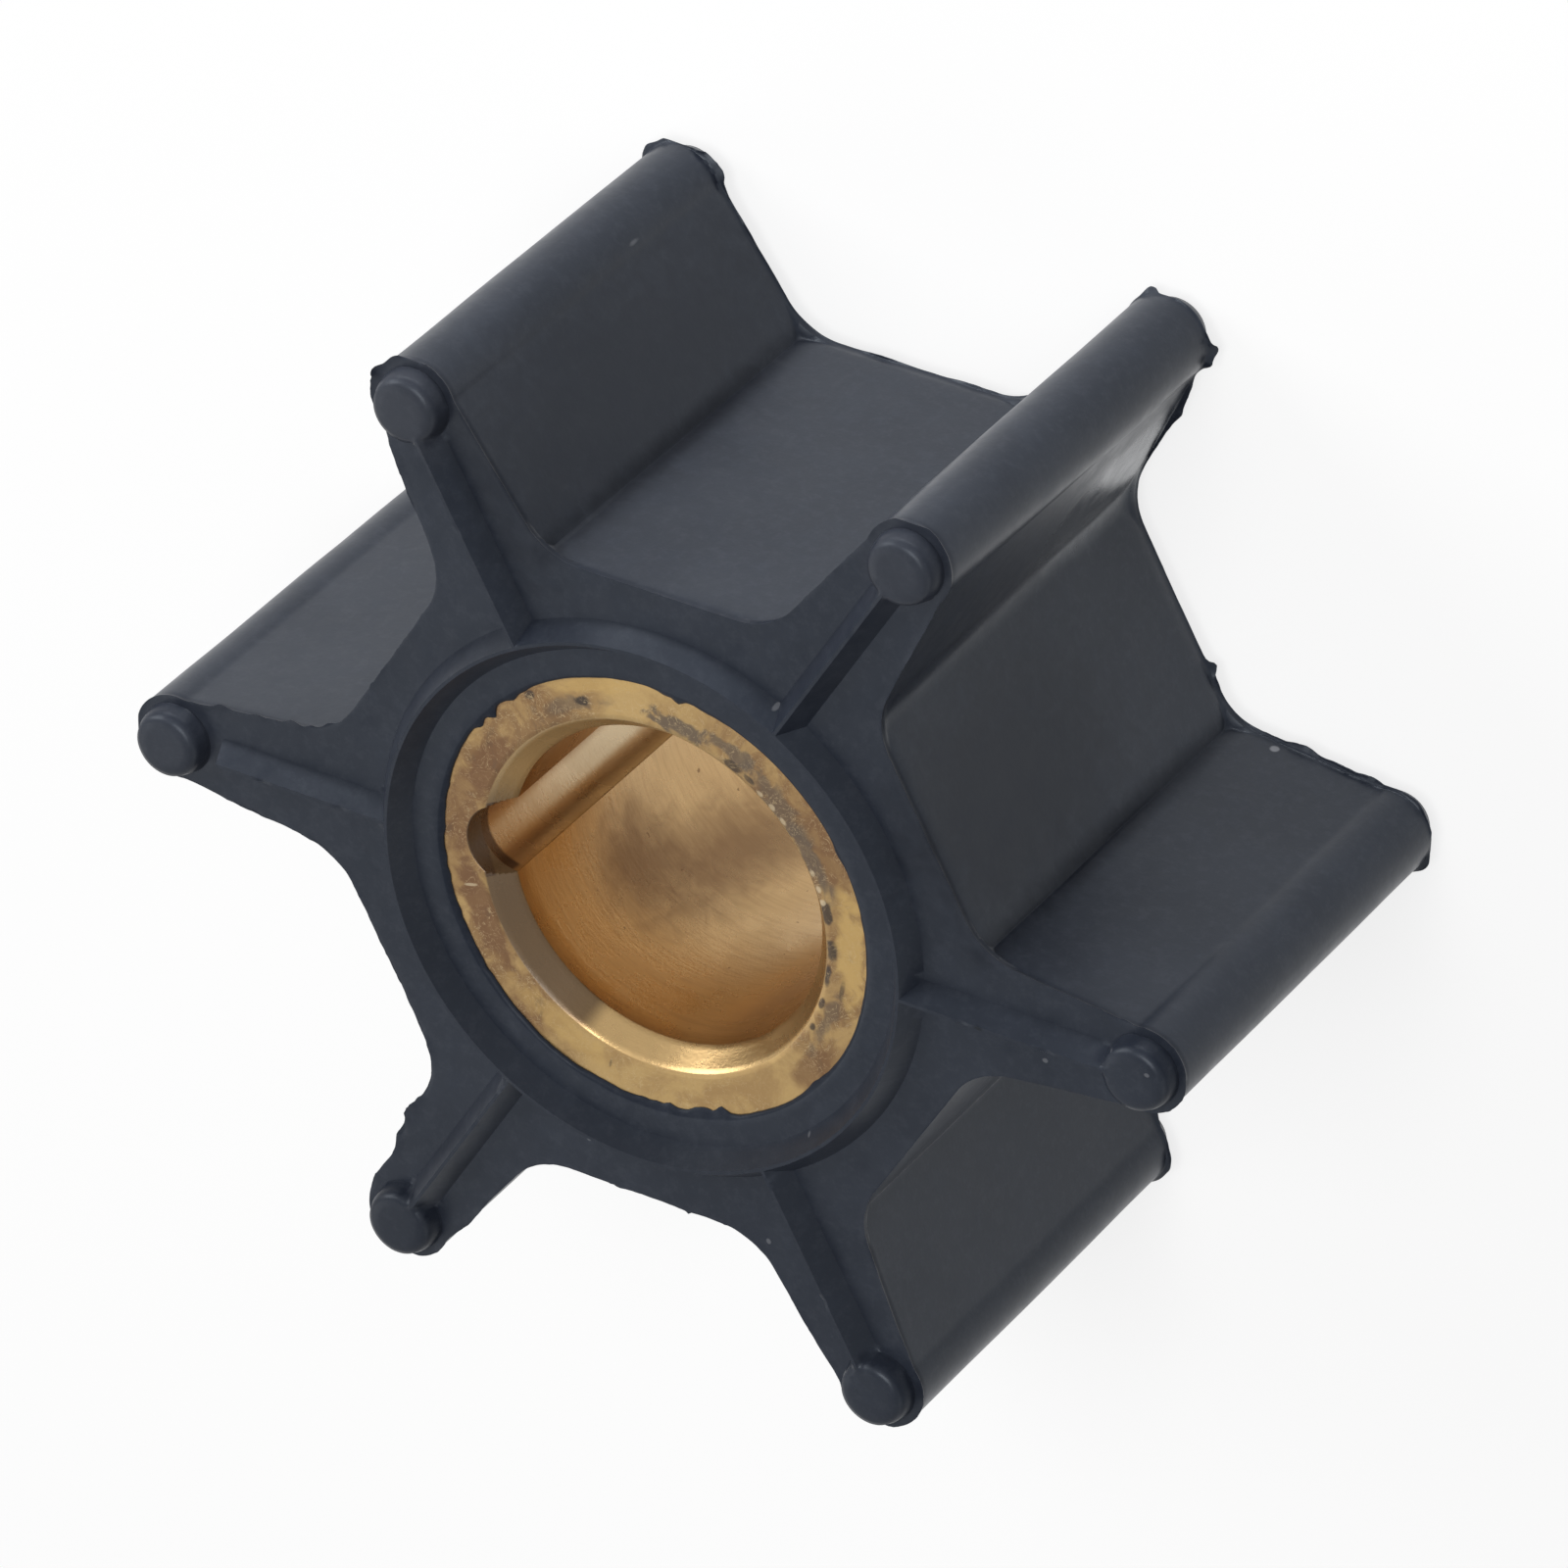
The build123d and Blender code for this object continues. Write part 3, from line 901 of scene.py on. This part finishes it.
def brass_material():
    """Turned brass: stained on the face; dull on one side of the chamfer, with painted shade there;
    darker patches in the bore; painted reflections and painted shade in the keyway.
    """
    n = Nodes("brass")
    along, across, height, radius = n.axes()
    azimuth = n.math("ARCTAN2", across, along)
    cloudy = n.noise(2.4, 5.0, 0.6, twist=0.5)
    fleck = n.noise(0.45, 3.0, 0.5)
    turned = n.noise(0.5, 4.0, 0.6, n.stretched((0.3, 0.3, 3.0)))
    grain = n.noise(0.15, 3.0, 0.6)

    film = n.noise(2.0, 5.0, 0.6, twist=1.2)
    curls = n.noise(0.9, 3.0, 0.6, twist=2.5)
    lines = n.span(n.math("ABSOLUTE", n.math("SUBTRACT", curls, 0.5)), 0.004, 0.018, 1.0, 0.0)
    stained = n.math("MAXIMUM", n.span(azimuth, -2.1, -1.6, 1.0, 0.0),
                     n.math("MAXIMUM", n.span(along, 2.0, 5.5),
                            n.span(azimuth, 2.3, 2.7)))
    face = n.mix(n.span(cloudy, 0.4, 0.62), tone(222, 186, 126), tone(198, 162, 110))
    face = n.mix(n.math("MULTIPLY", n.span(film, 0.4, 0.58, 0.2, 0.75), stained), face, PINKISH)
    face = n.stains_and_shade(face, FACE_MARKS)
    face = n.mix(n.math("MULTIPLY", n.span(film, 0.58, 0.66, 0.0, 0.35), stained), face,
                 tone(118, 98, 80))
    face = n.mix(n.math("MULTIPLY", lines, n.span(film, 0.4, 0.6, 0.1, 0.55)), face,
                 tone(236, 208, 160))
    face = n.mix(n.span(grain, 0.55, 0.75, 0.0, 0.12), face, tone(150, 120, 84))

    bore = n.mix(n.span(height, 11.5, 18.5), tone(234, 197, 142), tone(228, 181, 118))
    bore = n.mix(n.span(turned, 0.4, 0.7, 0.0, 0.25), bore, tone(180, 140, 96))
    bore = n.stains_and_shade(bore, BORE_MARKS)
    bore = n.mix(n.span(fleck, 0.72, 0.76, 0.0, 0.6), bore, tone(110, 74, 46))

    # Painted reflections: the light and dark bands across the keyway; painted shade: its dark brown
    # mouth, within about 1.6 mm of the face.
    slot = n.mix(n.span(across, -1.75, -1.4), UMBER, tone(250, 232, 200))
    slot = n.mix(n.span(across, -0.7, -0.2), slot, tone(204, 170, 130))
    slot = n.mix(n.span(across, 0.2, 0.8), slot, tone(246, 222, 182))
    slot = n.mix(n.span(across, 1.35, 1.6), slot, tone(206, 166, 116))
    slot = n.mix(n.span(height, 12.0, FACE - 2.0, 0.0, 0.7), slot, tone(214, 170, 118))
    slot = n.mix(n.span(height, FACE - 1.75, FACE - 1.55), slot, tone(120, 94, 70))

    # Painted shade: on one side the chamfer is coloured a dull brown instead of bright gold.
    dull = n.math("MULTIPLY", n.span(azimuth, -0.5, -0.1), n.span(azimuth, 1.12, 1.24, 1.0, 0.0))
    chamfer = n.mix(dull, tone(238, 200, 140), tone(146, 119, 86))

    top = n.math("ABSOLUTE", n.math("SUBTRACT", height, OVERALL_LENGTH / 2))
    half = FACE - OVERALL_LENGTH / 2
    in_bore = n.span(top, half - CHAMFER_DEPTH, half - CHAMFER_DEPTH - 0.03, smooth=False)
    off_face = n.span(top, half, half - 0.03, smooth=False)
    in_slot = n.math("MULTIPLY", off_face, n.math(
        "MULTIPLY", n.span(n.math("ABSOLUTE", across), 1.82, 1.86, 1.0, 0.0),
        n.span(radius, BORE_RADIUS + 0.05, BORE_RADIUS + 0.1)))
    in_slot = n.math("MULTIPLY", in_slot, n.span(along, 0.0, 1.0))
    below = n.span(n.math("ADD", radius, top), BORE_RADIUS + half + 0.1, BORE_RADIUS + half + 0.3)
    in_slot = n.math("MULTIPLY", in_slot, n.math("MAXIMUM", in_bore, below))
    colour = n.mix(off_face, face, chamfer)
    colour = n.mix(in_bore, colour, bore)
    colour = n.mix(in_slot, colour, slot)
    colour = n.mix(0.24, colour, tone(0, 0, 0))
    roughness = n.math("ADD", n.span(cloudy, 0.3, 0.7, 0.34, 0.46),
                       n.math("MULTIPLY", off_face, -0.12))
    worn = n.math("MULTIPLY", n.span(azimuth, 0.9, 1.25, 1.0, 0.0), n.span(azimuth, -2.9, -2.5))
    worn = n.math("MULTIPLY", worn, n.math("SUBTRACT", off_face, in_bore))
    metallic = n.math("MULTIPLY_ADD", worn, -0.7, 0.8)
    normal = n.bump(grain, 0.008)
    normal = n.bump(turned, 0.006, normal)
    return n.surface(Base_Color=colour, Metallic=metallic, Roughness=roughness, Normal=normal)


# ---------------------------------------------------------------- floor, light and camera
# How strongly the floor glows for the camera and for reflections, which see white.
FLOOR_GLOW = 0.81
# Grey of the floor as it lights the part, and as the camera and reflections see it in the shadow.
FLOOR_GREY = 0.8
FLOOR_SEEN_GREY = 0.28
FLOOR_HALF_WIDTH = 1.5
# Strength of the world's light, and the share of plain white that reflections see in it.
WORLD_LIGHT = 0.08
WORLD_SHINE = 0.8
# Name, azimuth, elevation, distance, width, height and power. The strip lights the low sides.
LAMPS = [
    ("key", 248, 66, 0.6, 0.3, 0.3, 1.55),
    ("left", 330, 30, 0.6, 0.3, 0.3, 1.05),
    ("fill", 30, 40, 0.6, 0.3, 0.3, 0.25),
    ("side", 150, 22, 0.6, 0.3, 0.3, 0.12),
    ("strip", 285, -0.45, 0.15, 0.18, 0.019, 0.11),
]


def floor_material():
    """Pale floor that a camera, or a reflection, sees as white apart from the shadow."""
    n = Nodes("floor")
    pale = n.new("ShaderNodeBsdfDiffuse")
    pale.inputs["Color"].default_value = [FLOOR_GREY] * 3 + [1.0]
    dim = n.new("ShaderNodeBsdfDiffuse")
    dim.inputs["Color"].default_value = [FLOOR_SEEN_GREY] * 3 + [1.0]
    path = n.new("ShaderNodeLightPath").outputs
    lift = n.new("ShaderNodeEmission")
    lift.inputs["Strength"].default_value = FLOOR_GLOW
    seen = n.new("ShaderNodeAddShader")
    n.link(dim.outputs["BSDF"], seen.inputs[0])
    n.link(lift.outputs["Emission"], seen.inputs[1])
    direct = n.math("MAXIMUM", path["Is Camera Ray"], path["Is Glossy Ray"])
    direct = n.math("MAXIMUM", direct, path["Is Transmission Ray"])
    choose = n.new("ShaderNodeMixShader")
    n.link(direct, choose.inputs["Fac"])
    n.link(pale.outputs["BSDF"], choose.inputs[1])
    n.link(seen.outputs["Shader"], choose.inputs[2])
    output = n.new("ShaderNodeOutputMaterial")
    n.link(choose.outputs["Shader"], output.inputs["Surface"])
    return n.material


def make_floor():
    """A wide plain floor just under the part."""
    half = FLOOR_HALF_WIDTH
    mesh = bpy.data.meshes.new("floor")
    corners = [(-half, -half, 0), (half, -half, 0), (half, half, 0), (-half, half, 0)]
    mesh.from_pydata(corners, [], [(0, 1, 2, 3)])
    mesh.materials.append(floor_material())
    floor = bpy.data.objects.new("floor", mesh)
    bpy.context.scene.collection.objects.link(floor)


def make_world():
    """Soft light from all round; a camera sees plain white, and reflections a share of it."""
    world = bpy.data.worlds.new("studio")
    bpy.context.scene.world = world
    world.use_nodes = True
    tree = world.node_tree
    tree.nodes.clear()
    soft = tree.nodes.new("ShaderNodeBackground")
    soft.inputs["Strength"].default_value = WORLD_LIGHT
    white = tree.nodes.new("ShaderNodeBackground")
    path = tree.nodes.new("ShaderNodeLightPath").outputs
    shine = tree.nodes.new("ShaderNodeMath")
    shine.operation = "MAXIMUM"
    clear = tree.nodes.new("ShaderNodeMath")
    clear.operation = "MULTIPLY_ADD"
    clear.use_clamp = True
    choose = tree.nodes.new("ShaderNodeMixShader")
    output = tree.nodes.new("ShaderNodeOutputWorld")
    tree.links.new(path["Is Glossy Ray"], shine.inputs[0])
    tree.links.new(path["Is Transmission Ray"], shine.inputs[1])
    tree.links.new(shine.outputs[0], clear.inputs[0])
    clear.inputs[1].default_value = WORLD_SHINE
    tree.links.new(path["Is Camera Ray"], clear.inputs[2])
    tree.links.new(clear.outputs[0], choose.inputs["Fac"])
    tree.links.new(soft.outputs[0], choose.inputs[1])
    tree.links.new(white.outputs[0], choose.inputs[2])
    tree.links.new(choose.outputs[0], output.inputs[0])


def make_lamp(name, azimuth, elevation, distance, width, height, power):
    """A soft box aimed at the middle of the part."""
    middle = Vector((0, 0, OVERALL_LENGTH / 2)) * MM
    turn = math.radians(azimuth)
    rise = math.radians(elevation)
    way = Vector((math.cos(rise) * math.cos(turn), math.cos(rise) * math.sin(turn),
                  math.sin(rise)))
    data = bpy.data.lights.new(name, "AREA")
    data.shape = "RECTANGLE"
    data.size = width
    data.size_y = height
    data.energy = power
    lamp = bpy.data.objects.new(name, data)
    bpy.context.scene.collection.objects.link(lamp)
    lamp.matrix_world = Matrix.Translation(middle + way * distance) @ \
        way.to_track_quat("Z", "Y").to_matrix().to_4x4()


# The camera's place in millimetres and its axes, and the lens, from the photograph's perspective.
CAMERA_PLACE = Vector((-205.82, -267.09, 372.85))
CAMERA_RIGHT = Vector((-0.86201, -0.02365, -0.50633))
CAMERA_UP = Vector((0.29130, -0.84060, -0.45666))
PICTURE_WIDTH = 1600
FOCAL_PIXELS = 11936.7
CENTRE_PIXEL = (818.4, 807.4)


def make_camera():
    """The camera, rolled so that the part lies across the picture."""
    data = bpy.data.cameras.new("camera")
    data.sensor_width = 36.0
    data.lens = data.sensor_width * FOCAL_PIXELS / PICTURE_WIDTH
    data.shift_x = (PICTURE_WIDTH / 2 - CENTRE_PIXEL[0]) / PICTURE_WIDTH
    data.shift_y = (CENTRE_PIXEL[1] - PICTURE_WIDTH / 2) / PICTURE_WIDTH
    data.clip_start = 0.01
    data.clip_end = 10.0
    camera = bpy.data.objects.new("camera", data)
    bpy.context.scene.collection.objects.link(camera)
    back = CAMERA_RIGHT.cross(CAMERA_UP)
    turn = Matrix((CAMERA_RIGHT, CAMERA_UP, back)).transposed().to_4x4()
    camera.matrix_world = Matrix.Translation(CAMERA_PLACE * MM) @ turn
    bpy.context.scene.camera = camera


rubber = make_rubber()
rubber.data.materials.append(rubber_material())
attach(rubber, "root")
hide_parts("rubber_body")

brass = make_brass()
brass.data.materials.append(brass_material())
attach(brass, "root")
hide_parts("brass_insert")

make_floor()
make_world()
for lamp in LAMPS:
    make_lamp(*lamp)
make_camera()
bpy.context.scene.view_settings.view_transform = "Standard"
